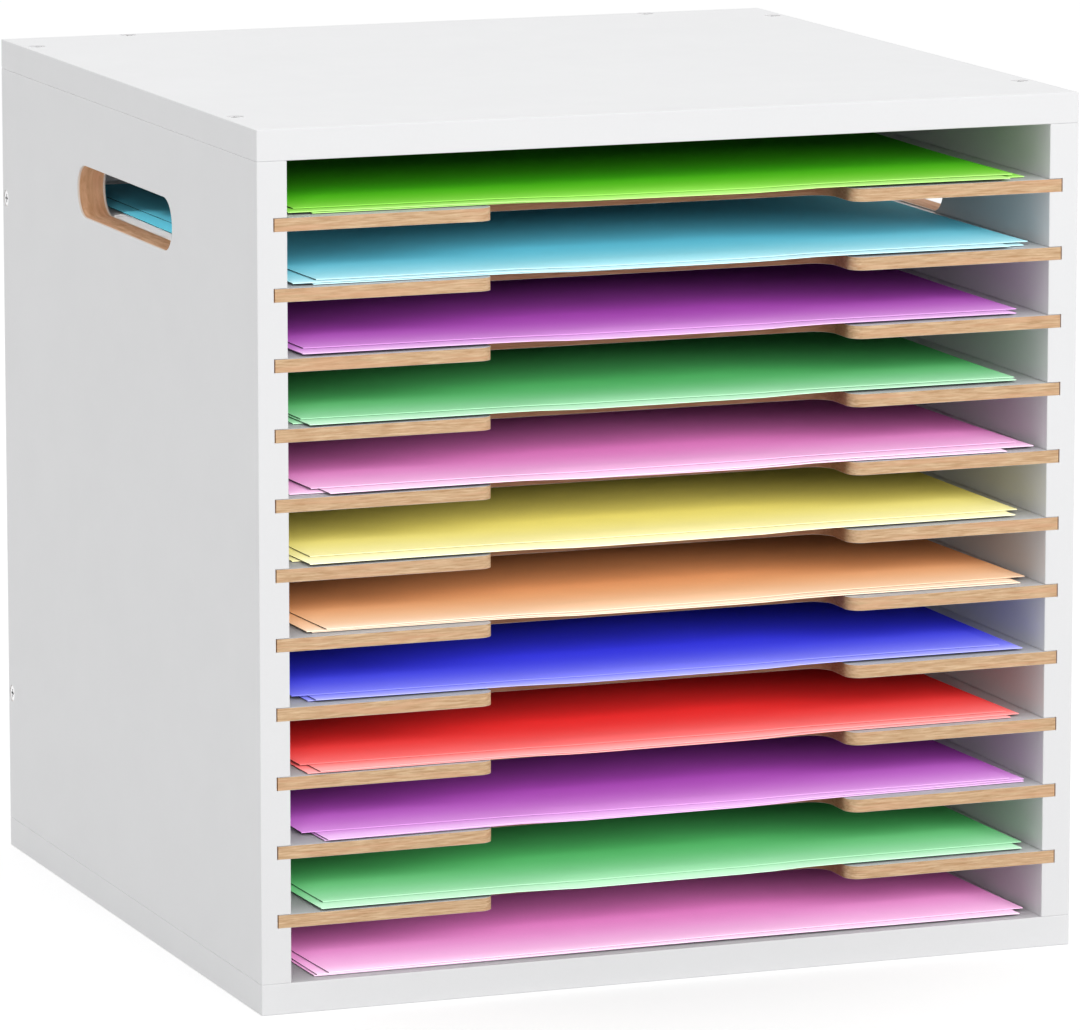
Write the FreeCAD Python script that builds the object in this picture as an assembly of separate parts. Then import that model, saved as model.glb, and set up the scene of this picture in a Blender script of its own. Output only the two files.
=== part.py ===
import FreeCAD, Part
import math
import os

# Open-front storage box with slide-out shelves for square craft paper.
# Units are millimetres. The origin is the centre of the footprint, on the surface that the box
# stands on. +Z is up, the open front faces -Y and X runs across the front.

# Paper that the box is made for
paper_side = 304.8
sheet_thickness = 0.4

# Room round a stack of paper in its compartment
side_room = 10.1
front_room = 8.0
rear_room = 16.0
clear_height = 22.4

# Boards
panel_thickness = 12.5
back_thickness = 9.2
shelf_thickness = 5.3
edge_ease = 0.4

# Shelves and the grooves that they slide in
shelf_count = 11
groove_depth = 5.75
groove_end_clearance = 0.55
groove_height_clearance = 0.2
shelf_rear_clearance = 0.5

# Finger notch in the front edge of each shelf
notch_width = 153.0
notch_depth = 26.0
notch_corner_radius = 6.0
notch_root_radius = 9.0

# Carrying slot in each side panel, level with the second compartment
handle_length = 126.0
handle_margin = 0.4
handle_rim_ease = 0.5
handle_row = 2

# Countersunk wood screws
screw_length = 30.0
screw_diameter = 3.5
screw_point_length = 5.0
screw_head_diameter = 6.5
screw_head_rim = 0.5
screw_head_sink = 0.3
head_clearance = 0.25
shank_clearance = 0.05
tip_room = 1.0
drive_length = 3.6
drive_width = 0.9
drive_depth = 1.5

# Places of the screws
side_screw_front_setback = 44.0
side_screw_rear_setback = 32.0
back_screw_inset = 55.5
back_screw_level = 68.0

# Overrun of every cut past the surface that it opens
overrun = 1.0

# Lie of the sheets in each stack, from the lowest sheet to the top one: the turn of the sheet,
# its shift to the right and its shift to the rear, each as a share of the room round it
sheet_lie_shares = [
    [(0.10, 0.20, -0.10), (-0.45, -0.45, -0.50), (-0.42, 0.10, 0.50)],
    [(0.15, 0.10, -0.30), (-0.23, -0.54, -0.56), (0.02, 0.57, 0.12)],
    [(-0.10, 0.00, 0.00), (0.11, -0.49, -0.52), (-0.19, 0.35, 0.66)],
    [(0.02, -0.65, 0.20), (0.32, -0.46, -0.60), (-0.25, 0.20, 0.44)],
    [(-0.45, -0.45, -0.45), (0.36, 0.54, -0.55), (0.19, 0.22, 0.72)],
    [(-0.15, -0.40, 0.50), (0.28, -0.43, -0.62), (-0.04, 0.52, 0.88)],
    [(-0.10, 0.30, -0.20), (0.07, -0.18, -0.14), (0.50, 0.40, 0.20)],
    [(0.30, -0.30, 0.30), (-0.03, 0.37, -0.29), (-0.14, -0.41, 0.70)],
    [(0.20, -0.50, -0.60), (0.46, -0.13, -0.47), (-0.13, -0.04, 0.65)],
    [(0.30, 0.30, -0.40), (0.52, 0.19, -0.42), (-0.35, 0.31, 0.58)],
    [(0.10, 0.35, -0.35), (0.22, 0.12, -0.70), (0.17, 0.66, 0.46)],
    [(0.10, 0.10, -0.10), (-0.04, 0.36, -0.31), (0.43, 0.50, 0.12)],
]

# Sizes that follow
inner_width = paper_side + 2 * side_room
inner_depth = front_room + paper_side + rear_room
width = inner_width + 2 * panel_thickness
depth = inner_depth + back_thickness
inner_height = (shelf_count + 1) * clear_height + shelf_count * shelf_thickness
height = inner_height + 2 * panel_thickness
half_width = width / 2
half_inner_width = inner_width / 2
front = -depth / 2
rear = depth / 2
back_front = rear - back_thickness
shelf_half_width = half_inner_width + groove_depth - groove_end_clearance
shelf_rear = back_front - shelf_rear_clearance
sheet_room = min(side_room, front_room, rear_room)
down = FreeCAD.Vector(0, 0, -1)
up = FreeCAD.Vector(0, 0, 1)
rightward = FreeCAD.Vector(1, 0, 0)
leftward = FreeCAD.Vector(-1, 0, 0)


def block(x_low, x_high, y_low, y_high, z_low, z_high):
    corner = FreeCAD.Vector(x_low, y_low, z_low)
    return Part.makeBox(x_high - x_low, y_high - y_low, z_high - z_low, corner)


def board(x_low, x_high, y_low, y_high, z_low, z_high):
    # Board with all its edges lightly rounded.
    blank = block(x_low, x_high, y_low, y_high, z_low, z_high)
    return blank.makeFillet(edge_ease, blank.Edges)


def shelf_underside(row):
    # Height of the underside of a shelf. Row 1 is the top shelf.
    shelves_below = shelf_count - row
    return panel_thickness + (shelves_below + 1) * clear_height + shelves_below * shelf_thickness


def compartment_floor(row):
    # Height of the surface that the paper in a compartment lies on. Row 1 is the top one.
    if row > shelf_count:
        return panel_thickness
    return shelf_underside(row) + shelf_thickness


# Screws

def turned(profile):
    # Solid of revolution about Z from (radius, height) points that start and end on the axis.
    points = [FreeCAD.Vector(radius, 0, level) for radius, level in profile]
    outline = Part.makePolygon(points + points[:1])
    return Part.Face(outline).revolve(FreeCAD.Vector(0, 0, 0), up)


def screw():
    # Screw with its head's flat top at the origin and its shank along -Z.
    head = screw_head_diameter / 2
    shank = screw_diameter / 2
    body = turned([
        (0, 0),
        (head, 0),
        (head, -screw_head_rim),
        (shank, -screw_head_rim - head + shank),
        (shank, screw_point_length - screw_length),
        (0, -screw_length),
    ])
    long_half = drive_length / 2
    short_half = drive_width / 2
    slot_across = block(-long_half, long_half, -short_half, short_half, -drive_depth, overrun)
    slot_along = block(-short_half, short_half, -long_half, long_half, -drive_depth, overrun)
    return body.cut([slot_across, slot_along])


def screw_hole():
    # Countersunk hole for one screw. Its cone is the seat of the head's cone.
    head = screw_head_diameter / 2
    mouth = head + head_clearance
    bore = screw_diameter / 2 + shank_clearance
    seat_top = head_clearance - screw_head_rim
    bottom = -screw_length - tip_room
    return turned([
        (0, overrun),
        (mouth, overrun),
        (mouth, seat_top),
        (bore, seat_top - mouth + bore),
        (bore, bottom),
        (0, bottom),
    ])


def driven(shape, surface_point, direction):
    # Shape moved from the origin to a point of a panel's face and turned to point inwards.
    start = surface_point + direction * screw_head_sink
    moved = shape.copy()
    moved.Placement = FreeCAD.Placement(start, FreeCAD.Rotation(down, direction))
    return moved


def panel_screw_places(level):
    # Six places on the top or bottom panel: four over the sides and two over the back panel.
    side_x = half_width - panel_thickness / 2
    back_x = half_width - back_screw_inset
    back_y = rear - back_thickness / 2
    places = []
    for hand in (-1, 1):
        places.append(FreeCAD.Vector(hand * side_x, front + side_screw_front_setback, level))
        places.append(FreeCAD.Vector(hand * side_x, rear - side_screw_rear_setback, level))
        places.append(FreeCAD.Vector(hand * back_x, back_y, level))
    return places


def side_screw_places(x):
    # Two places on the outside of a side panel, over the edge of the back panel.
    back_y = rear - back_thickness / 2
    return [
        FreeCAD.Vector(x, back_y, back_screw_level),
        FreeCAD.Vector(x, back_y, height - back_screw_level),
    ]


top_drives = [(place, down) for place in panel_screw_places(height)]
bottom_drives = [(place, up) for place in panel_screw_places(0)]
left_drives = [(place, rightward) for place in side_screw_places(-half_width)]
right_drives = [(place, leftward) for place in side_screw_places(half_width)]
side_drives = left_drives + right_drives
screw_holes = [
    driven(screw_hole(), place, direction)
    for place, direction in top_drives + bottom_drives + side_drives
]


def screw_group(drives):
    return Part.makeCompound([driven(screw(), place, direction) for place, direction in drives])


# Panels

def flat_panel(z_low, z_high):
    # Top or bottom panel, which covers the ends of the side panels.
    return board(-half_width, half_width, front, rear, z_low, z_high).cut(screw_holes)


def back_panel():
    # Back panel, set in between the sides, the top and the bottom.
    blank = board(
        -half_inner_width, half_inner_width, back_front, rear,
        panel_thickness, height - panel_thickness,
    )
    return blank.cut(screw_holes)


def handle_cutter(x_low, x_high):
    # Slot with round ends through a side panel, as high as its compartment less a margin.
    radius = clear_height / 2 - handle_margin
    middle = compartment_floor(handle_row) + clear_height / 2
    reach = handle_length / 2 - radius
    slot = block(x_low, x_high, -reach, reach, middle - radius, middle + radius)
    for y in (-reach, reach):
        start = FreeCAD.Vector(x_low, y, middle)
        slot = slot.fuse(Part.makeCylinder(radius, x_high - x_low, start, rightward))
    return slot.removeSplitter()


def slot_rims(panel, faces_x):
    # Edges where the carrying slot meets the two faces of its side panel.
    middle = compartment_floor(handle_row) + clear_height / 2
    reach = handle_length / 2 + edge_ease
    rise = clear_height / 2 - handle_margin + edge_ease
    rims = []
    for edge in panel.Edges:
        box = edge.BoundBox
        flat = box.XLength < edge_ease and min(abs(box.XMin - x) for x in faces_x) < edge_ease
        within_y = box.YMin > -reach and box.YMax < reach
        within_z = box.ZMin > middle - rise and box.ZMax < middle + rise
        if flat and within_y and within_z:
            rims.append(edge)
    return rims


def side_panel(hand):
    # Side panel with stopped grooves, open at the front, and a carrying slot. Hand 1 is the right.
    inside = hand * half_inner_width
    outside = hand * half_width
    x_low = min(inside, outside)
    x_high = max(inside, outside)
    panel = board(x_low, x_high, front, rear, panel_thickness, height - panel_thickness)
    panel = panel.cut(handle_cutter(x_low - overrun, x_high + overrun))
    panel = panel.makeFillet(handle_rim_ease, slot_rims(panel, (x_low, x_high)))
    groove_floor = inside + hand * groove_depth
    mouth = inside - hand * overrun
    grooves = []
    for row in range(1, shelf_count + 1):
        level = shelf_underside(row)
        top = level + shelf_thickness + groove_height_clearance
        ends = sorted((groove_floor, mouth))
        grooves.append(block(*ends, front - overrun, back_front, level, top))
    return panel.cut(grooves + screw_holes)


# Shelves

def upright_edges(shape, x, y):
    # Vertical edges of a shape at a place in plan.
    return [
        edge for edge in shape.Edges
        if all(math.hypot(corner.X - x, corner.Y - y) < edge_ease for corner in edge.Vertexes)
    ]


def shelf(row):
    # Shelf with a finger notch in its front edge. Its ends run in the grooves of the sides.
    level = shelf_underside(row)
    top = level + shelf_thickness
    notch_half = notch_width / 2
    root = front + notch_depth
    blank = block(-shelf_half_width, shelf_half_width, front, shelf_rear, level, top)
    notch = block(-notch_half, notch_half, front - overrun, root, level - overrun, top + overrun)
    plate = blank.cut(notch)
    for x in (-notch_half, notch_half):
        plate = plate.makeFillet(notch_root_radius, upright_edges(plate, x, root))
        plate = plate.makeFillet(notch_corner_radius, upright_edges(plate, x, front))
    return plate


# Paper

def sheet(level, turn_share, side_share, rear_share):
    # One loose sheet, turned and shifted within the room round it.
    half = paper_side / 2
    centre_x = side_share * sheet_room
    centre_y = front + front_room + half + rear_share * sheet_room
    turn = math.degrees(math.asin(turn_share * sheet_room / half))
    leaf = block(-half, half, -half, half, 0, sheet_thickness)
    leaf.Placement = FreeCAD.Placement(
        FreeCAD.Vector(centre_x, centre_y, level),
        FreeCAD.Rotation(up, turn),
    )
    return leaf


def paper_stack(row):
    # Stack of loose sheets on the floor of a compartment.
    floor = compartment_floor(row)
    lies = sheet_lie_shares[(row - 1) % len(sheet_lie_shares)]
    sheets = [sheet(floor + place * sheet_thickness, *lie) for place, lie in enumerate(lies)]
    return Part.makeCompound(sheets)


nodes = {
    "top_panel": flat_panel(height - panel_thickness, height),
    "bottom_panel": flat_panel(0, panel_thickness),
    "left_side_panel": side_panel(-1),
    "right_side_panel": side_panel(1),
    "back_panel": back_panel(),
    "top_screws": screw_group(top_drives),
    "bottom_screws": screw_group(bottom_drives),
    "side_screws": screw_group(side_drives),
}
for row in range(1, shelf_count + 1):
    nodes[f"shelf_{row:02d}"] = shelf(row)
for row in range(1, shelf_count + 2):
    nodes[f"paper_stack_{row:02d}"] = paper_stack(row)

os.makedirs("parts", exist_ok=True)
for name, shape in nodes.items():
    shape.exportStep(f"parts/{name}.step")
print(f"size {width:.1f} x {depth:.1f} x {height:.1f} mm, {len(nodes)} nodes")
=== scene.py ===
import math

import bmesh
import bpy
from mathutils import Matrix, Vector, noise


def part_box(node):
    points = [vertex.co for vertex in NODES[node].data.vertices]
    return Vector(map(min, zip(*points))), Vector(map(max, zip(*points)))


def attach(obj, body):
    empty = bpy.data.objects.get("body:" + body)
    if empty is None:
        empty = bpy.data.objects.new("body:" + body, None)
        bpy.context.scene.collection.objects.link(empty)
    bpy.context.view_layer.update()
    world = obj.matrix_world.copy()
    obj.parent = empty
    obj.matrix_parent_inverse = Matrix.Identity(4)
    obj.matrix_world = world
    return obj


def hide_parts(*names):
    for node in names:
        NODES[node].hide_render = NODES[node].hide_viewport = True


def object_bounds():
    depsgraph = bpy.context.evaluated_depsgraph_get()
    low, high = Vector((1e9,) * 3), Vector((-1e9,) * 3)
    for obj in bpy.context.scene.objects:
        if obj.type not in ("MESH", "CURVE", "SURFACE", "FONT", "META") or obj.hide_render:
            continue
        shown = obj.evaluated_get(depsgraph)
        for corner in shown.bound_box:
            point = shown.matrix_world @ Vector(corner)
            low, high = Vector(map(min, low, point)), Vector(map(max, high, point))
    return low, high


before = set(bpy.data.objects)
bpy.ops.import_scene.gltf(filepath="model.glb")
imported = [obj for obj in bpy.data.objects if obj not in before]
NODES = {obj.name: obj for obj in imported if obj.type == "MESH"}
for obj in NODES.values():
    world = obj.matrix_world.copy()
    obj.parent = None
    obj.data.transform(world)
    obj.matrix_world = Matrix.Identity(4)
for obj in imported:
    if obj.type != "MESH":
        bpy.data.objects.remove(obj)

bl_info = {
    "name": "Craft Paper Shelf Box",
    "version": (1, 0, 0),
    "blender": (4, 5, 0),
    "location": "View3D > Sidebar > Paper Box",
    "description": "Finishes a shelf box for square craft paper and lays loose sheets in it",
    "category": "Object",
}

# Places read from the frame, in metres. Z is up and the open front faces -Y.
CAD_LOW, CAD_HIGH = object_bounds()
SHELF_COUNT = sum(1 for name in NODES if name.startswith("shelf_"))
ROW_COUNT = SHELF_COUNT + 1
LYING_PANELS = ("top_panel", "bottom_panel")
SIDE_PANELS = ("left_side_panel", "right_side_panel")
SCREW_GROUPS = ("top_screws", "bottom_screws", "side_screws")

# Paper colour of each compartment from the top down
ROW_COLOURS = (
    "lime", "cyan", "orchid", "mint", "pink", "yellow",
    "peach", "blue", "red", "orchid", "mint", "pink",
)


# Settings

def colour_setting(name, description, default):
    """Colour property with a sidebar swatch."""
    return bpy.props.FloatVectorProperty(
        name=name, description=description, default=default, subtype="COLOR", min=0, max=1,
    )


def length_setting(name, description, default):
    """Length property in metres."""
    return bpy.props.FloatProperty(
        name=name, description=description, default=default, unit="LENGTH", min=0, precision=5,
    )


def share_setting(name, description, default):
    """Plain number between zero and one."""
    return bpy.props.FloatProperty(
        name=name, description=description, default=default, subtype="FACTOR", min=0, max=1,
    )


class BoardSettings(bpy.types.PropertyGroup):
    """Finish of the panels and shelves."""

    face_colour: colour_setting(
        "Face Colour", "White of the boards' faces", (0.855, 0.857, 0.866))
    face_roughness: share_setting(
        "Face Roughness", "Satin of the white faces", 0.42)
    panel_skin: length_setting(
        "Panel Skin", "Thickness of the white skin on the top, bottom and back", 0.00070)
    side_skin: length_setting(
        "Side Skin", "Thickness of the white skin on the sides", 0.00030)
    shelf_skin: length_setting(
        "Shelf Skin", "Thickness of the white skin on the shelves", 0.00005)
    shelf_light: colour_setting(
        "Shelf Light Wood", "Pale streaks of the shelves' bare edges", (0.82, 0.58, 0.35))
    shelf_dark: colour_setting(
        "Shelf Dark Wood", "Brown streaks of the shelves' bare edges", (0.47, 0.24, 0.10))
    shelf_flush: colour_setting(
        "Shelf Flush", "Reddish patches of the shelves' bare edges", (0.75, 0.42, 0.24))
    panel_light: colour_setting(
        "Panel Light Wood", "Pale streaks of the wood inside the carrying slots",
        (0.95, 0.61, 0.37))
    panel_dark: colour_setting(
        "Panel Dark Wood", "Brown streaks of the wood inside the carrying slots",
        (0.64, 0.32, 0.155))
    panel_flush: colour_setting(
        "Panel Flush", "Reddish patches inside the carrying slots", (0.90, 0.49, 0.29))
    # Painted highlight: a pale band of bare wood along the faces round the carrying slots
    painted_rim_highlight: colour_setting(
        "Painted Rim Highlight", "Sanded edge round the carrying slots", (0.98, 0.88, 0.81))
    painted_rim_width: length_setting(
        "Painted Rim Width", "Width of the sanded edge round the carrying slots", 0.0011)
    # Painted shade: how much darker the wood in the finger notches is painted, where the sheets
    # overhang it
    painted_notch_shade: share_setting(
        "Scorch", "How much darker the cutter has left the wood in the finger notches", 0.70)


class PaperSettings(bpy.types.PropertyGroup):
    """Colours and lie of the loose sheets."""

    lime: colour_setting("Lime", "Sheets of the top compartment", (0.055, 0.460, 0.004))
    cyan: colour_setting("Cyan", "Pale blue sheets", (0.120, 0.550, 0.710))
    orchid: colour_setting("Orchid", "Purple sheets", (0.400, 0.064, 0.460))
    mint: colour_setting("Mint", "Green sheets", (0.085, 0.465, 0.130))
    pink: colour_setting("Pink", "Rose sheets", (0.770, 0.205, 0.545))
    yellow: colour_setting("Yellow", "Straw yellow sheets", (0.900, 0.765, 0.170))
    peach: colour_setting("Peach", "Orange sheets", (0.820, 0.335, 0.130))
    blue: colour_setting("Blue", "Royal blue sheets", (0.036, 0.039, 0.760))
    red: colour_setting("Red", "Coral red sheets", (0.830, 0.023, 0.022))
    front_lift: length_setting(
        "Front Lift", "How far the front edges curl up off the shelf", 0.00040)
    leaf_gap: length_setting(
        "Leaf Gap", "Air between two sheets at their front edges", 0.00020)
    leaf: length_setting("Leaf", "Thickness of a sheet", 0.00028)
    curl_reach: length_setting(
        "Curl Reach", "How far back from the front edge the curl dies away", 0.035)
    notch_sag: length_setting(
        "Notch Sag", "How far the sheets hang down over the finger notch", 0.00080)
    roughness: share_setting("Roughness", "Dullness of the paper", 0.72)
    # Painted highlight: the colour paled in each sheet's front margin, and more along its front
    # edges
    painted_margin_highlight: share_setting(
        "Fading", "Share of the dye that has faded away in the front margin", 0.60)
    painted_edge_highlight: share_setting(
        "Bleaching", "Further share of the dye that the sheets' front edges have lost", 0.14)
    # Painted shade: the sheets' front and side cut edges darkened against their faces, the side
    # edges most
    painted_cut_shade: share_setting(
        "Cut Shade", "Darkness of the sheets' front edges against their faces", 0.42)
    painted_side_shade: share_setting(
        "Side Shade", "Darkness of the sheets' side edges against their faces", 0.88)
    spill: share_setting(
        "Spill", "Share of its light that a sheet throws on what is round it", 0.20)


class MetalSettings(bpy.types.PropertyGroup):
    """Finish of the screws."""

    colour: colour_setting("Colour", "Bright zinc plate", (0.93, 0.93, 0.94))
    roughness: share_setting("Roughness", "Polish of the plate", 0.22)


class StageSettings(bpy.types.PropertyGroup):
    """Floor, light and camera."""

    ambient: bpy.props.FloatProperty(
        name="Ambient", description="Strength of the light from all round", default=0.79, min=0)
    front_power: bpy.props.FloatProperty(
        name="Front Lamp", description="Power of the softbox in front", default=14.8,
        min=0, unit="POWER")
    top_power: bpy.props.FloatProperty(
        name="Top Lamp", description="Power of the softbox over the boards", default=6.5,
        min=0, unit="POWER")
    paper_power: bpy.props.FloatProperty(
        name="Paper Lamp", description="Power of the low softbox that lights the sheets",
        default=1100.0, min=0, unit="POWER")
    slot_power: bpy.props.FloatProperty(
        name="Slot Lamp", description="Power of the narrow lamp that shines in at the left slot",
        default=0.40, min=0, unit="POWER")
    floor_colour: colour_setting("Floor Colour", "Paint of the floor", (0.66, 0.66, 0.66))
    floor_lift: share_setting(
        "Floor Lift", "Light added to the floor for the camera, so that it reads white", 0.49)
    camera_place: bpy.props.FloatVectorProperty(
        name="Camera Place", description="Where the camera stands",
        default=(-1.12355, -2.96075, 0.71784), subtype="TRANSLATION", unit="LENGTH")
    camera_yaw: bpy.props.FloatProperty(
        name="Camera Yaw", description="Turn of the view to the right of straight back",
        default=math.radians(20.900), subtype="ANGLE")
    camera_pitch: bpy.props.FloatProperty(
        name="Camera Pitch", description="Downward tilt of the view",
        default=math.radians(9.950), subtype="ANGLE")
    camera_lens: bpy.props.FloatProperty(
        name="Lens", description="Focal length on a 36 mm frame", default=255.54, min=1,
        unit="CAMERA")


# Shader building

def plug(tree, socket, value):
    """Link a socket to another node's output, or set its own value."""
    if isinstance(value, bpy.types.NodeSocket):
        tree.links.new(value, socket)
    elif socket.type == "RGBA" and len(value) == 3:
        socket.default_value = (*value, 1.0)
    else:
        socket.default_value = value


def add(tree, kind, inputs=None, **settings):
    """New node with its settings made and its inputs plugged by name or number."""
    node = tree.nodes.new(kind)
    for key, value in settings.items():
        setattr(node, key, value)
    for key, value in (inputs or {}).items():
        plug(tree, node.inputs[key], value)
    return node


def calc(tree, operation, first, second=0.0):
    """Result of a Math node."""
    return add(tree, "ShaderNodeMath", {0: first, 1: second}, operation=operation).outputs[0]


def vector_calc(tree, operation, first, second=(0.0, 0.0, 0.0)):
    """Result of a Vector Math node."""
    node = add(tree, "ShaderNodeVectorMath", {0: first, 1: second}, operation=operation)
    return node.outputs["Vector"]


def mix(tree, factor, first, second, mode="MIX"):
    """Blend of two colours."""
    node = add(
        tree, "ShaderNodeMix", {0: factor, 6: first, 7: second},
        data_type="RGBA", blend_type=mode,
    )
    return node.outputs[2]


def spread(tree, value, from_low, from_high, to_low, to_high, kind="LINEAR"):
    """Value moved from one range to another and kept inside it."""
    node = add(
        tree, "ShaderNodeMapRange",
        {"Value": value, "From Min": from_low, "From Max": from_high,
         "To Min": to_low, "To Max": to_high},
        interpolation_type=kind, clamp=True,
    )
    return node.outputs["Result"]


def grain(tree, place, scale, detail=3.0, roughness=0.55, distortion=0.0):
    """Noise value at a place."""
    node = add(
        tree, "ShaderNodeTexNoise",
        {"Vector": place, "Scale": scale, "Detail": detail, "Roughness": roughness,
         "Distortion": distortion},
    )
    return node.outputs["Fac"]


def sway(tree, noise_value, reach):
    """Noise moved to a range from minus its reach to its reach."""
    return spread(tree, noise_value, NOISE_LOW, NOISE_HIGH, -reach, reach)


def new_group(name, inputs, outputs):
    """Shader node group with named sockets. Returns its tree, its inputs and its output node."""
    tree = bpy.data.node_groups.new(name, "ShaderNodeTree")
    for label, kind, default in inputs:
        socket = tree.interface.new_socket(label, in_out="INPUT", socket_type=kind)
        socket.default_value = default
    for label, kind in outputs:
        tree.interface.new_socket(label, in_out="OUTPUT", socket_type=kind)
    source = tree.nodes.new("NodeGroupInput")
    sink = tree.nodes.new("NodeGroupOutput")
    return tree, source.outputs, sink


def use_group(tree, name, inputs):
    """Outputs of a group placed in a material."""
    node = tree.nodes.new("ShaderNodeGroup")
    node.node_tree = bpy.data.node_groups[name]
    for key, value in inputs.items():
        plug(tree, node.inputs[key], value)
    return node.outputs


FLOAT = "NodeSocketFloat"
COLOUR = "NodeSocketColor"
VECTOR = "NodeSocketVector"
FINISH_OUTPUTS = (("Colour", COLOUR), ("Roughness", FLOAT), ("Height", FLOAT))
BLACK = (0.0, 0.0, 0.0)

# The part of its range in which Blender's noise mostly stays
NOISE_LOW = 0.3
NOISE_HIGH = 0.7

# Noise cells per metre
MOTTLE_SCALE = 14.0
SPECK_SCALE = 900.0
MARKS_SCALE = 55.0
CLOUD_SCALE = 60.0
FIBRE_SCALE = 1500.0
FIBRE_STRETCH = (1.0, 0.45, 1.0)
POLISH_SCALE = 2600.0
STAIN_SCALE = 700.0

# How far each kind of noise moves the colour or the roughness
MOTTLE_TONE = 0.006
SPECK_TONE = 0.005
CLOUD_TONE = 0.02
FIBRE_TONE = 0.035
FIBRE_ROUGHNESS = 0.06

# Rubbed marks on the white faces: their share of the noise, and how they move the roughness
MARKS_NOISE = (0.35, 0.75)
MARKS_ROUGHNESS = (-0.05, 0.07)

# Streaks, patches and pores of bare wood: scale, share of the noise, and how strongly they show
STREAK_SCALE = 1.0
PATCH_SCALE = 0.32
PORE_SCALE = 2.1
STREAK_NOISE = (0.34, 0.68)
STREAK_SHARE = 0.85
PATCH_NOISE = (0.48, 0.68)
PATCH_SHARE = 0.60
PORE_NOISE = (0.60, 0.74)
PORE_SHARE = 0.45
PORE_STRETCH = (0.8, 2.2, 2.2)
PORE_DEPTH = 0.8
WOOD_ROUGHNESS = (0.62, 0.80)

# What the painted shade in the finger notches multiplies the wood's colour by
NOTCH_SHADE_TINT = (0.40, 0.14, 0.08)

# Share of the skin's thickness over which it gives way to the wood
SKIN_BLUR = 0.15

# Upward share of a sheet's normal, from its cut edges to its faces, and sideways share of the
# edges' normal, from the front edge to the side edges, which place the painted shade on the cut
# edges
UPRIGHT_OF_FACE = (0.2, 0.7)
SIDEWAYS_OF_SIDE_EDGE = (0.4, 0.8)

# Depths behind the front of the box, in metres, for the painted shade in the finger notches and
# the painted highlights on the sheets' front margin and front edges
NOTCH_SHADE_START = 0.001
NOTCH_SHADE_FULL = 0.010
NOTCH_END = 0.030
MARGIN_HIGHLIGHT_END = 0.070
EDGE_HIGHLIGHT_START = 0.005
EDGE_HIGHLIGHT_END = 0.0175

# Distance of the finger notches' ends from the middle of the box, and the blend beyond them
NOTCH_HALF_WIDTH = 0.084
NOTCH_BLEND = 0.006


def finish_outputs(tree, sink, colour, roughness, height):
    """Plug the three results that every finish group gives."""
    plug(tree, sink.inputs["Colour"], colour)
    plug(tree, sink.inputs["Roughness"], roughness)
    plug(tree, sink.inputs["Height"], height)


def build_white_face_group():
    """Smooth white face of a coated board, with faint mottling and handling marks."""
    tree, given, sink = new_group(
        "White Face",
        (("Place", VECTOR, (0, 0, 0)), ("Colour", COLOUR, (1, 1, 1, 1)),
         ("Roughness", FLOAT, 0.4)),
        FINISH_OUTPUTS,
    )
    mottle = grain(tree, given["Place"], MOTTLE_SCALE, detail=2.0)
    speck = grain(tree, given["Place"], SPECK_SCALE, detail=2.0, roughness=0.6)
    marks = grain(tree, given["Place"], MARKS_SCALE, detail=4.0, roughness=0.65, distortion=0.6)
    tone = calc(tree, "ADD", sway(tree, mottle, MOTTLE_TONE), sway(tree, speck, SPECK_TONE))
    colour = mix(tree, 1.0, given["Colour"], calc(tree, "ADD", tone, 1.0), "MULTIPLY")
    rubbed = spread(tree, marks, *MARKS_NOISE, *MARKS_ROUGHNESS)
    roughness = calc(tree, "ADD", given["Roughness"], rubbed)
    finish_outputs(tree, sink, colour, roughness, speck)


def build_bare_wood_group():
    """Sawn wood with streaks along the grain, reddish patches and dark pores."""
    tree, given, sink = new_group(
        "Bare Wood",
        (("Place", VECTOR, (0, 0, 0)), ("Stretch", VECTOR, (1, 1, 1)),
         ("Light", COLOUR, (1, 1, 1, 1)), ("Dark", COLOUR, (0, 0, 0, 1)),
         ("Flush", COLOUR, (1, 0, 0, 1))),
        FINISH_OUTPUTS,
    )
    along = vector_calc(tree, "MULTIPLY", given["Place"], given["Stretch"])
    streaks = grain(tree, along, STREAK_SCALE, detail=5.0, roughness=0.62, distortion=0.25)
    patches = grain(tree, along, PATCH_SCALE, detail=2.0, roughness=0.5, distortion=0.4)
    pores = grain(tree, vector_calc(tree, "MULTIPLY", along, PORE_STRETCH), PORE_SCALE,
                  detail=2.0, roughness=0.5)
    streak_mask = spread(tree, streaks, *STREAK_NOISE, 0.0, STREAK_SHARE)
    colour = mix(tree, streak_mask, given["Light"], given["Dark"])
    patch_mask = spread(tree, patches, *PATCH_NOISE, 0.0, PATCH_SHARE)
    colour = mix(tree, patch_mask, colour, given["Flush"])
    pore_mask = spread(tree, pores, *PORE_NOISE, 0.0, PORE_SHARE)
    colour = mix(tree, pore_mask, colour, given["Dark"])
    height = calc(tree, "SUBTRACT", streaks, calc(tree, "MULTIPLY", pore_mask, PORE_DEPTH))
    roughness = spread(tree, streaks, NOISE_LOW, NOISE_HIGH, *WOOD_ROUGHNESS)
    finish_outputs(tree, sink, colour, roughness, height)


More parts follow.
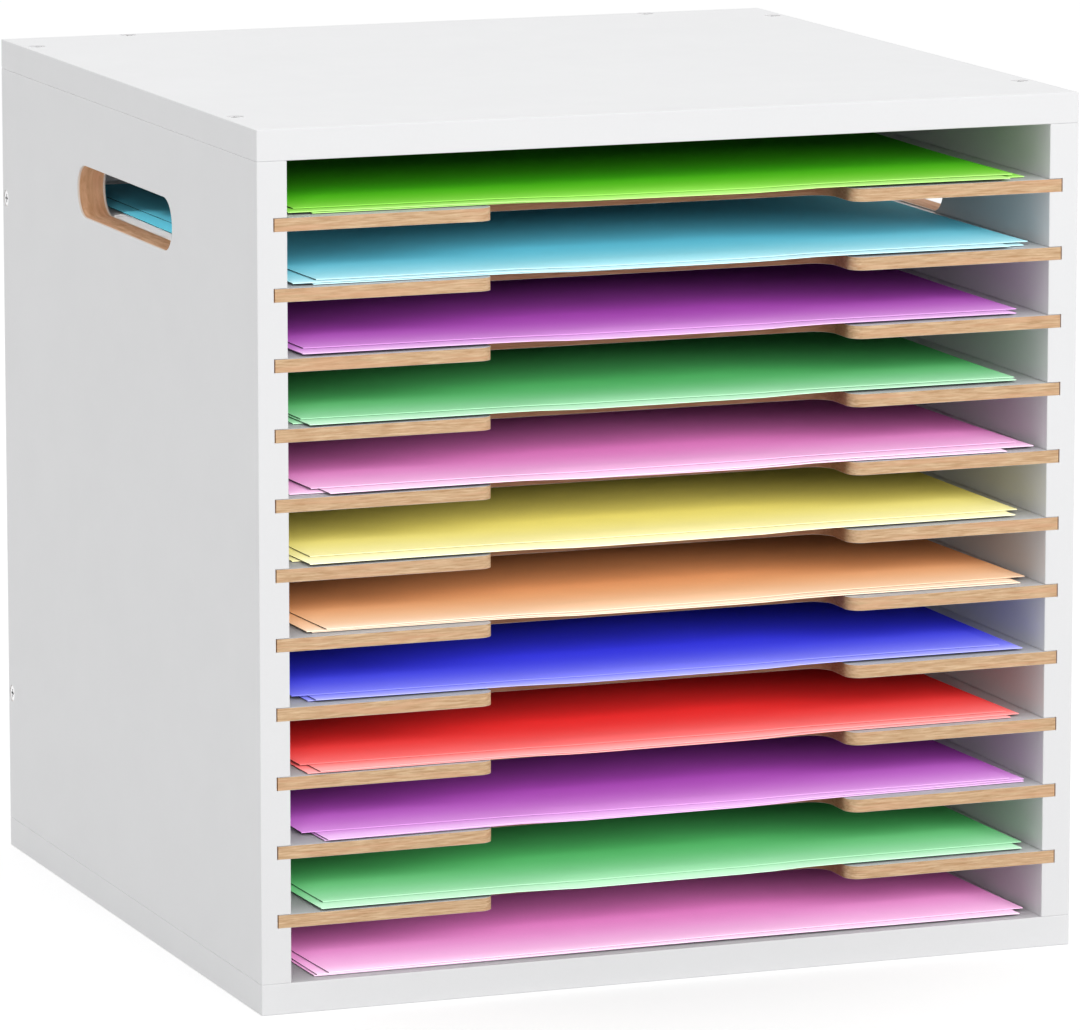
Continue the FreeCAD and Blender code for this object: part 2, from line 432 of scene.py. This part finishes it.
def build_board_skin_group():
    """Mask of the white skin: 1 within its thickness of the coated faces of a board."""
    tree, given, sink = new_group(
        "Board Skin",
        (("Generated", VECTOR, (0, 0, 0)), ("Size", VECTOR, (1, 1, 1)),
         ("Uncoated", VECTOR, (0, 0, 0)), ("Skin", FLOAT, 0.001)),
        (("Mask", FLOAT),),
    )
    centred = vector_calc(tree, "SUBTRACT", given["Generated"], (0.5, 0.5, 0.5))
    inward = vector_calc(tree, "SUBTRACT", (0.5, 0.5, 0.5), vector_calc(tree, "ABSOLUTE", centred))
    depth = vector_calc(tree, "MULTIPLY", inward, given["Size"])
    depth = vector_calc(tree, "ADD", depth, given["Uncoated"])
    axes = add(tree, "ShaderNodeSeparateXYZ", {0: depth}).outputs
    nearest = calc(tree, "MINIMUM", calc(tree, "MINIMUM", axes[0], axes[1]), axes[2])
    edge_low = calc(tree, "MULTIPLY", given["Skin"], 1.0 - SKIN_BLUR)
    edge_high = calc(tree, "MULTIPLY", given["Skin"], 1.0 + SKIN_BLUR)
    mask = spread(tree, nearest, edge_low, edge_high, 1.0, 0.0, "SMOOTHSTEP")
    plug(tree, sink.inputs["Mask"], mask)


def build_notch_shade_group():
    """Painted shade: darkens the wood inside the finger notches, where the sheets overhang it."""
    tree, given, sink = new_group(
        "Burnt Cut",
        (("Colour", COLOUR, (1, 1, 1, 1)), ("Depth", FLOAT, 0.0), ("Across", FLOAT, 0.0),
         ("Scorch", FLOAT, 0.5)),
        (("Colour", COLOUR),),
    )
    notch_shade_mask = spread(tree, given["Depth"], NOTCH_SHADE_START, NOTCH_SHADE_FULL, 0.0, 1.0, "SMOOTHSTEP")
    before_root = spread(tree, given["Depth"], NOTCH_END, NOTCH_END + NOTCH_BLEND, 1.0, 0.0)
    across = calc(tree, "ABSOLUTE", given["Across"])
    between_ends = spread(tree, across, NOTCH_HALF_WIDTH, NOTCH_HALF_WIDTH + NOTCH_BLEND,
                          1.0, 0.0)
    notch_shade_mask = calc(tree, "MULTIPLY", notch_shade_mask, calc(tree, "MULTIPLY", before_root, between_ends))
    notch_shade_mask = calc(tree, "MULTIPLY", notch_shade_mask, given["Scorch"])
    shaded_wood = mix(tree, 1.0, given["Colour"], NOTCH_SHADE_TINT, "MULTIPLY")
    plug(tree, sink.inputs["Colour"], mix(tree, notch_shade_mask, given["Colour"], shaded_wood))


def build_craft_paper_group():
    """Dyed paper with fine fibres and a soft cloudiness, a painted highlight that pales the front
    margin and front edges, and painted shade on the cut edges.
    """
    tree, given, sink = new_group(
        "Craft Paper",
        (("Place", VECTOR, (0, 0, 0)), ("Normal", VECTOR, (0, 0, 1)), ("Depth", FLOAT, 0.0),
         ("Colour", COLOUR, (1, 1, 1, 1)), ("Roughness", FLOAT, 0.7),
         ("Fading", FLOAT, 0.0), ("Bleaching", FLOAT, 0.0), ("Cut Shade", FLOAT, 0.0),
         ("Side Shade", FLOAT, 0.0)),
        FINISH_OUTPUTS,
    )
    cloud = grain(tree, given["Place"], CLOUD_SCALE, detail=3.0)
    fibre = grain(tree, vector_calc(tree, "MULTIPLY", given["Place"], FIBRE_STRETCH),
                  FIBRE_SCALE, detail=3.0, roughness=0.7, distortion=0.8)
    tone = calc(tree, "ADD", sway(tree, cloud, CLOUD_TONE), sway(tree, fibre, FIBRE_TONE))
    colour = mix(tree, 1.0, given["Colour"], calc(tree, "ADD", tone, 1.0), "MULTIPLY")
    # Painted highlight: the colour paled towards the front margin and more along the front edges
    paled = spread(tree, given["Depth"], 0.0, MARGIN_HIGHLIGHT_END, given["Fading"], 0.0, "SMOOTHSTEP")
    edge_highlight = spread(tree, given["Depth"], EDGE_HIGHLIGHT_START, EDGE_HIGHLIGHT_END, given["Bleaching"], 0.0,
                      "SMOOTHSTEP")
    highlight_gamma = calc(tree, "SUBTRACT", calc(tree, "SUBTRACT", 1.0, paled), edge_highlight)
    colour = add(tree, "ShaderNodeGamma", {"Color": colour, "Gamma": highlight_gamma}).outputs["Color"]
    # Painted shade: cut edges darkened, the side edges more than the front edges
    facing = add(tree, "ShaderNodeSeparateXYZ", {0: given["Normal"]}).outputs
    cut_edge = spread(tree, calc(tree, "ABSOLUTE", facing[2]), *UPRIGHT_OF_FACE, 1.0, 0.0)
    edge_shade = spread(tree, calc(tree, "ABSOLUTE", facing[0]), *SIDEWAYS_OF_SIDE_EDGE,
                        given["Cut Shade"], given["Side Shade"])
    shade = calc(tree, "MULTIPLY", cut_edge, edge_shade)
    colour = mix(tree, shade, colour, BLACK)
    roughness = calc(tree, "ADD", given["Roughness"], sway(tree, fibre, FIBRE_ROUGHNESS))
    finish_outputs(tree, sink, colour, roughness, fibre)


def new_material(name):
    """Material with a Principled BSDF. Returns it, its tree and the shader."""
    material = bpy.data.materials.new(name)
    material.use_nodes = True
    return material, material.node_tree, material.node_tree.nodes["Principled BSDF"]


def bump(tree, shader, height, distance):
    """Feed a height to the shader's normal. The distance is its full depth in metres."""
    node = add(tree, "ShaderNodeBump",
               {"Height": height, "Distance": distance, "Strength": 1.0})
    tree.links.new(node.outputs["Normal"], shader.inputs["Normal"])


def depth_behind_front(tree, place):
    """How far a point lies behind the front of the box while its shelf is in."""
    return calc(tree, "SUBTRACT", add(tree, "ShaderNodeSeparateXYZ", {0: place}).outputs[1],
                CAD_LOW.y)


def dress(node_name, material):
    """Give a CAD node its material."""
    for place in NODES[node_name].material_slots:
        place.material = material


# Boards

# Streaks per metre along X, Y and Z, fewest along the grain
WOOD_ALONG_X = (85.0, 420.0, 1300.0)
WOOD_ALONG_Y = (430.0, 60.0, 80.0)
FACE_RELIEF = 0.000004
WOOD_RELIEF = 0.00012

# Added to the depth along an uncoated axis, in metres, so that no skin forms there
UNCOATED_AXIS = 1.0


def board_material(name, example, coated_axes, stretch, wood_name, skin, painted_notch_shade=0.0, rim=0.0):
    """Coated board: white skin on the faces across the coated axes, bare wood inside.

    The wood of a cut edge may carry painted shade in the finger notches, or a pale painted
    highlight for a rim's width under the faces.
    """
    finish = bpy.context.scene.board_finish
    low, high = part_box(example)
    material, tree, shader = new_material(name)
    place = add(tree, "ShaderNodeTexCoord")
    uncoated = [0.0 if axis in coated_axes else UNCOATED_AXIS for axis in "XYZ"]
    board = {
        "Generated": place.outputs["Generated"], "Size": high - low, "Uncoated": uncoated,
    }
    mask = use_group(tree, "Board Skin", {**board, "Skin": skin})["Mask"]
    face = use_group(tree, "White Face", {
        "Place": place.outputs["Object"], "Colour": finish.face_colour,
        "Roughness": finish.face_roughness,
    })
    wood = use_group(tree, "Bare Wood", {
        "Place": place.outputs["Object"], "Stretch": stretch,
        "Light": getattr(finish, f"{wood_name}_light"),
        "Dark": getattr(finish, f"{wood_name}_dark"),
        "Flush": getattr(finish, f"{wood_name}_flush"),
    })
    wood_colour = wood["Colour"]
    # Painted shade in the finger notches, under the overhanging sheets
    if painted_notch_shade:
        wood_colour = use_group(tree, "Burnt Cut", {
            "Colour": wood_colour, "Scorch": painted_notch_shade,
            "Depth": depth_behind_front(tree, place.outputs["Object"]),
            "Across": add(
                tree, "ShaderNodeSeparateXYZ", {0: place.outputs["Object"]}).outputs[0],
        })["Colour"]
    # Painted highlight: pale wood for a rim's width under the faces
    if rim:
        highlit = use_group(tree, "Board Skin", {**board, "Skin": rim})["Mask"]
        wood_colour = mix(tree, highlit, wood_colour, finish.painted_rim_highlight)
    plug(tree, shader.inputs["Base Color"], mix(tree, mask, wood_colour, face["Colour"]))
    rough = mix(tree, mask, wood["Roughness"], face["Roughness"])
    plug(tree, shader.inputs["Roughness"], rough)
    face_height = calc(tree, "MULTIPLY", face["Height"], FACE_RELIEF / WOOD_RELIEF)
    height = mix(tree, mask, wood["Height"], face_height)
    bump(tree, shader, height, WOOD_RELIEF)
    return material


class PAPERBOX_OT_finish_panels(bpy.types.Operator):
    """Coat the top, bottom, side and back panels"""

    bl_idname = "paper_box.finish_panels"
    bl_label = "Finish Panels"

    def execute(self, context):
        finish = context.scene.board_finish
        lying = board_material("white_lying_panel", "top_panel", "XYZ", WOOD_ALONG_X, "panel",
                               finish.panel_skin)
        # The side panels carry the painted highlight round their carrying slots
        side = board_material("white_side_panel", "left_side_panel", "XYZ", WOOD_ALONG_Y, "panel",
                              finish.side_skin, rim=finish.painted_rim_width)
        back = board_material("white_back_panel", "back_panel", "XYZ", WOOD_ALONG_X, "panel",
                              finish.panel_skin)
        for name in LYING_PANELS:
            dress(name, lying)
        for name in SIDE_PANELS:
            dress(name, side)
        dress("back_panel", back)
        return {"FINISHED"}


class PAPERBOX_OT_finish_shelves(bpy.types.Operator):
    """Coat the shelves above and below and leave their edges bare"""

    bl_idname = "paper_box.finish_shelves"
    bl_label = "Finish Shelves"

    def execute(self, context):
        finish = context.scene.board_finish
        # The shelves carry the painted shade in their finger notches
        material = board_material("white_shelf_bare_edge", "shelf_01", "Z", WOOD_ALONG_X, "shelf",
                                  finish.shelf_skin, finish.painted_notch_shade)
        for row in range(1, SHELF_COUNT + 1):
            dress(f"shelf_{row:02d}", material)
        return {"FINISHED"}


# Screws

STAIN_COLOUR = (0.80, 0.78, 0.74)
STAIN_NOISE = (0.4, 0.7)
STAIN_SHARE = 0.25
POLISH_ROUGHNESS = (-0.07, 0.09)
PLATE_RELIEF = 0.00002


class PAPERBOX_OT_finish_screws(bpy.types.Operator):
    """Plate the screws"""

    bl_idname = "paper_box.finish_screws"
    bl_label = "Finish Screws"

    def execute(self, context):
        metal = context.scene.metal_finish
        material, tree, shader = new_material("screw_zinc_plate")
        place = add(tree, "ShaderNodeTexCoord").outputs["Object"]
        polish = grain(tree, place, POLISH_SCALE, detail=3.0, roughness=0.6)
        stain = grain(tree, place, STAIN_SCALE, detail=2.0)
        stained = spread(tree, stain, *STAIN_NOISE, 0.0, STAIN_SHARE)
        colour = mix(tree, stained, metal.colour, STAIN_COLOUR)
        plug(tree, shader.inputs["Base Color"], colour)
        worn = spread(tree, polish, NOISE_LOW, NOISE_HIGH, *POLISH_ROUGHNESS)
        rough = calc(tree, "ADD", worn, metal.roughness)
        plug(tree, shader.inputs["Roughness"], rough)
        shader.inputs["Metallic"].default_value = 1.0
        bump(tree, shader, polish, PLATE_RELIEF)
        for name in SCREW_GROUPS:
            dress(name, material)
        return {"FINISHED"}


# Paper

# Squares along each side of a sheet's mesh
SHEET_CELLS = 22

# Length of the waves in the curl, in metres, how much they change it and how rows differ
WAVE_LENGTH = 0.11
WAVE_SHARE = 0.45
WAVE_ROW_STEP = 3.7

# Reach of the sag back from the front, and to each side of the notch's middle, in metres
SAG_DEPTH = 0.026
SAG_CORE = 0.035
SAG_HALF_WIDTH = 0.066
PAPER_RELIEF = 0.00003
PAPER_GLOSS = 0.10


def sheet_corners(node_name):
    """Corners of each sheet of a stack, lowest sheet first, front left corner first."""
    points = [vertex.co for vertex in NODES[node_name].data.vertices]
    levels = sorted({round(point.z, 6) for point in points})
    sheets = []
    for low, high in zip(levels[:-1], levels[1:]):
        shared = {(round(p.x, 6), round(p.y, 6)) for p in points if round(p.z, 6) == low}
        above = {(round(p.x, 6), round(p.y, 6)) for p in points if round(p.z, 6) == high}
        outline = sorted(shared & above, key=lambda p: math.atan2(p[1], p[0]))
        sheets.append((low, outline))
    return sheets


def smooth_share(value, low, high):
    """Value's place between two limits, from 0 to 1, eased at both ends."""
    share = min(max((value - low) / (high - low), 0.0), 1.0)
    return share * share * (3.0 - 2.0 * share)


def lift_at(x, y, row, paper):
    """Share of the full curl at a point: a raised, gently waving front edge."""
    back = y - CAD_LOW.y
    fade = math.exp(-back / paper.curl_reach)
    wave = noise.noise(Vector((x / WAVE_LENGTH, y / WAVE_LENGTH, row * WAVE_ROW_STEP)))
    return fade * (1.0 + WAVE_SHARE * wave)


def sag_at(x, y, row):
    """Share of the full sag at a point: most at the front over the middle of a finger notch."""
    if row > SHELF_COUNT:
        return 0.0
    behind = smooth_share(y - CAD_LOW.y, 0.0, SAG_DEPTH)
    beside = smooth_share(abs(x), SAG_CORE, SAG_HALF_WIDTH)
    return (1.0 - behind) * (1.0 - beside)


def build_sheet(mesh, row, place, level, outline, paper):
    """Add one thin sheet, curled along its front edge, to a bmesh."""
    front_left, front_right, rear_right, rear_left = [Vector(corner) for corner in outline]
    grid = {}
    for i in range(SHEET_CELLS + 1):
        across = i / SHEET_CELLS
        for j in range(SHEET_CELLS + 1):
            back = (j / SHEET_CELLS) ** 2
            front_point = front_left.lerp(front_right, across)
            rear_point = rear_left.lerp(rear_right, across)
            spot = front_point.lerp(rear_point, back)
            lift = lift_at(spot.x, spot.y, row, paper)
            lift *= paper.front_lift + place * paper.leaf_gap
            lift -= paper.notch_sag * sag_at(spot.x, spot.y, row)
            for side, rise in (("under", 0.0), ("over", paper.leaf)):
                grid[side, i, j] = mesh.verts.new((spot.x, spot.y, level + lift + rise))
    for i in range(SHEET_CELLS):
        for j in range(SHEET_CELLS):
            ring = ((i, j), (i + 1, j), (i + 1, j + 1), (i, j + 1))
            mesh.faces.new([grid["over", *cell] for cell in ring])
            mesh.faces.new([grid["under", *cell] for cell in reversed(ring)])
    rim = [(i, 0) for i in range(SHEET_CELLS)]
    rim += [(SHEET_CELLS, j) for j in range(SHEET_CELLS)]
    rim += [(i, SHEET_CELLS) for i in range(SHEET_CELLS, 0, -1)]
    rim += [(0, j) for j in range(SHEET_CELLS, 0, -1)]
    for first, second in zip(rim, rim[1:] + rim[:1]):
        mesh.faces.new([
            grid["under", *first], grid["under", *second],
            grid["over", *second], grid["over", *first],
        ])


def paper_material(name, colour, paper):
    """Craft paper of one colour."""
    material, tree, shader = new_material(name)
    place = add(tree, "ShaderNodeTexCoord").outputs
    # The group paints a highlight on the sheets' front margin and edges and painted shade on their
    # cut edges
    finish = use_group(tree, "Craft Paper", {
        "Place": place["Object"], "Normal": place["Normal"],
        "Depth": depth_behind_front(tree, place["Object"]),
        "Colour": colour, "Roughness": paper.roughness,
        "Fading": paper.painted_margin_highlight, "Bleaching": paper.painted_edge_highlight,
        "Cut Shade": paper.painted_cut_shade, "Side Shade": paper.painted_side_shade,
    })
    bounced = add(tree, "ShaderNodeLightPath").outputs["Is Diffuse Ray"]
    held_back = calc(tree, "MULTIPLY", bounced, 1.0 - paper.spill)
    plug(tree, shader.inputs["Base Color"],
         mix(tree, held_back, finish["Colour"], BLACK))
    plug(tree, shader.inputs["Roughness"], finish["Roughness"])
    shader.inputs["Specular IOR Level"].default_value = PAPER_GLOSS
    bump(tree, shader, finish["Height"], PAPER_RELIEF)
    return material


def body_of_row(row):
    """Body that carries the paper of a row: its shelf's, or the cabinet for the lowest row."""
    return f"sliding_shelf_{row:02d}" if row <= SHELF_COUNT else "cabinet"


class PAPERBOX_OT_lay_paper(bpy.types.Operator):
    """Lay a few loose coloured sheets in each compartment"""

    bl_idname = "paper_box.lay_paper"
    bl_label = "Lay Paper"

    def execute(self, context):
        paper = context.scene.craft_paper
        finishes = {
            name: paper_material(f"paper_{name}", getattr(paper, name), paper)
            for name in dict.fromkeys(ROW_COLOURS)
        }
        for row, colour in enumerate(ROW_COLOURS, start=1):
            stack = f"paper_stack_{row:02d}"
            mesh = bmesh.new()
            for place, (level, outline) in enumerate(sheet_corners(stack)):
                build_sheet(mesh, row, place, level, outline, paper)
            data = bpy.data.meshes.new(f"loose_sheets_{row:02d}")
            mesh.to_mesh(data)
            mesh.free()
            piece = bpy.data.objects.new(f"loose_sheets_{row:02d}", data)
            context.scene.collection.objects.link(piece)
            data.materials.append(finishes[colour])
            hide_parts(stack)
            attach(piece, body_of_row(row))
        return {"FINISHED"}


# Stage

FLOOR_HALF = 4.0
FLOOR_ROUGHNESS = 0.9
BOX_AIM = (0.0, 0.0, 0.17)
SLOT_AIM = (-0.17, 0.0, 0.298)
WIDE = math.radians(180.0)
NARROW = math.radians(16.0)
SHEETS = tuple(f"loose_sheets_{row:02d}" for row in range(1, ROW_COUNT + 1))
SLOT_ROW = ("shelf_02", "loose_sheets_02")

# Name, setting of its power, place, target, size and beam of each lamp, then the pieces that it
# reaches alone or leaves out
LAMPS = (
    ("front_softbox", "front_power", (0.55, -2.30, 0.60), BOX_AIM, (2.4, 1.0), WIDE, (), ""),
    ("top_softbox", "top_power", (-0.20, -0.30, 2.10), BOX_AIM, (2.2, 2.2), WIDE, SHEETS,
     "EXCLUDE"),
    ("paper_softbox", "paper_power", (-0.30, -6.00, 2.05), BOX_AIM, (7.0, 1.6), WIDE, SHEETS,
     "INCLUDE"),
    ("slot_softbox", "slot_power", (-1.40, 0.02, 1.10), SLOT_AIM, (0.16, 0.5), NARROW, SLOT_ROW,
     "INCLUDE"),
)
FRAME_WIDTH_MM = 36.0
CAMERA_CLIP = (0.1, 50.0)


def seen_ray(tree):
    """1 for rays that should see the white background: camera, glossy and transmission rays."""
    path = add(tree, "ShaderNodeLightPath").outputs
    seen = calc(tree, "MAXIMUM", path["Is Camera Ray"], path["Is Glossy Ray"])
    return calc(tree, "MAXIMUM", seen, path["Is Transmission Ray"])


def set_world(context, stage):
    """White background for the camera, softer light for the object."""
    world = bpy.data.worlds.new("studio_world")
    world.use_nodes = True
    context.scene.world = world
    tree = world.node_tree
    strength = spread(tree, seen_ray(tree), 0.0, 1.0, stage.ambient, 1.0)
    background = tree.nodes["Background"]
    background.inputs["Color"].default_value = (1.0, 1.0, 1.0, 1.0)
    tree.links.new(strength, background.inputs["Strength"])


def set_floor(context, stage):
    """Pale floor that keeps the shadow and reads white where it is lit."""
    mesh = bmesh.new()
    bmesh.ops.create_grid(mesh, x_segments=8, y_segments=8, size=FLOOR_HALF)
    data = bpy.data.meshes.new("floor")
    mesh.to_mesh(data)
    mesh.free()
    floor = bpy.data.objects.new("floor", data)
    floor.location.z = CAD_LOW.z
    context.scene.collection.objects.link(floor)
    material, tree, shader = new_material("floor_paint")
    shader.inputs["Base Color"].default_value = (*stage.floor_colour, 1.0)
    shader.inputs["Roughness"].default_value = FLOOR_ROUGHNESS
    shader.inputs["Specular IOR Level"].default_value = 0.0
    shader.inputs["Emission Color"].default_value = (1.0, 1.0, 1.0, 1.0)
    lift = calc(tree, "MULTIPLY", seen_ray(tree), stage.floor_lift)
    tree.links.new(lift, shader.inputs["Emission Strength"])
    data.materials.append(material)


def lamp_reach(name, pieces, state):
    """Collection that lets a lamp reach the named pieces alone, or all but them."""
    group = bpy.data.collections.new(name)
    for piece in pieces:
        group.objects.link(NODES.get(piece) or bpy.data.objects[piece])
    for item in group.collection_objects:
        item.light_linking.link_state = state
    return group


def set_lamps(context, stage):
    """Softboxes: one in front, one over the boards, one for the sheets and one at the slot."""
    for name, setting, place, target, size, beam, pieces, state in LAMPS:
        light = bpy.data.lights.new(name, "AREA")
        light.shape = "RECTANGLE"
        light.size, light.size_y = size
        light.spread = beam
        light.energy = getattr(stage, setting)
        lamp = bpy.data.objects.new(name, light)
        lamp.location = place
        aim = Vector(target) - Vector(place)
        lamp.rotation_euler = aim.to_track_quat("-Z", "Y").to_euler()
        if pieces:
            reach = lamp_reach(f"{name}_reach", pieces, state)
            lamp.light_linking.receiver_collection = reach
        context.scene.collection.objects.link(lamp)


def set_camera(context, stage):
    """Camera at the product view's angle."""
    data = bpy.data.cameras.new("camera")
    data.lens = stage.camera_lens
    data.sensor_width = FRAME_WIDTH_MM
    data.clip_start, data.clip_end = CAMERA_CLIP
    camera = bpy.data.objects.new("camera", data)
    camera.location = stage.camera_place
    camera.rotation_euler = (math.pi / 2 - stage.camera_pitch, 0.0, -stage.camera_yaw)
    context.scene.collection.objects.link(camera)
    context.scene.camera = camera


class PAPERBOX_OT_set_stage(bpy.types.Operator):
    """Make the floor, the light and the camera"""

    bl_idname = "paper_box.set_stage"
    bl_label = "Set Stage"

    def execute(self, context):
        stage = context.scene.paper_box_stage
        context.scene.view_settings.view_transform = "Standard"
        set_world(context, stage)
        set_floor(context, stage)
        set_lamps(context, stage)
        set_camera(context, stage)
        return {"FINISHED"}


class PAPERBOX_PT_sidebar(bpy.types.Panel):
    """Sidebar panel that lists the steps"""

    bl_label = "Paper Box"
    bl_idname = "PAPERBOX_PT_sidebar"
    bl_space_type = "VIEW_3D"
    bl_region_type = "UI"
    bl_category = "Paper Box"

    def draw(self, context):
        for settings in SETTINGS:
            group = getattr(context.scene, settings)
            column = self.layout.column()
            for key in group.bl_rna.properties.keys():
                if key not in ("rna_type", "name"):
                    column.prop(group, key)
        for operator in STEPS:
            self.layout.operator(operator.bl_idname)


SETTINGS = {
    "board_finish": BoardSettings,
    "craft_paper": PaperSettings,
    "metal_finish": MetalSettings,
    "paper_box_stage": StageSettings,
}
STEPS = (
    PAPERBOX_OT_finish_panels,
    PAPERBOX_OT_finish_shelves,
    PAPERBOX_OT_finish_screws,
    PAPERBOX_OT_lay_paper,
    PAPERBOX_OT_set_stage,
)
FINISH_GROUPS = (
    build_white_face_group,
    build_bare_wood_group,
    build_board_skin_group,
    build_notch_shade_group,
    build_craft_paper_group,
)


def register():
    """Register the settings, the steps and the panel."""
    for name, settings in SETTINGS.items():
        bpy.utils.register_class(settings)
        setattr(bpy.types.Scene, name, bpy.props.PointerProperty(type=settings))
    for step in STEPS:
        bpy.utils.register_class(step)
    bpy.utils.register_class(PAPERBOX_PT_sidebar)


def unregister():
    """Undo register."""
    bpy.utils.unregister_class(PAPERBOX_PT_sidebar)
    for step in reversed(STEPS):
        bpy.utils.unregister_class(step)
    for name, settings in reversed(SETTINGS.items()):
        delattr(bpy.types.Scene, name)
        bpy.utils.unregister_class(settings)


def main():
    """Build the whole scene."""
    register()
    for build in FINISH_GROUPS:
        build()
    bpy.ops.paper_box.finish_panels()
    bpy.ops.paper_box.finish_shelves()
    bpy.ops.paper_box.finish_screws()
    bpy.ops.paper_box.lay_paper()
    bpy.ops.paper_box.set_stage()
    bpy.context.view_layer.update()


if __name__ == "__main__":
    main()
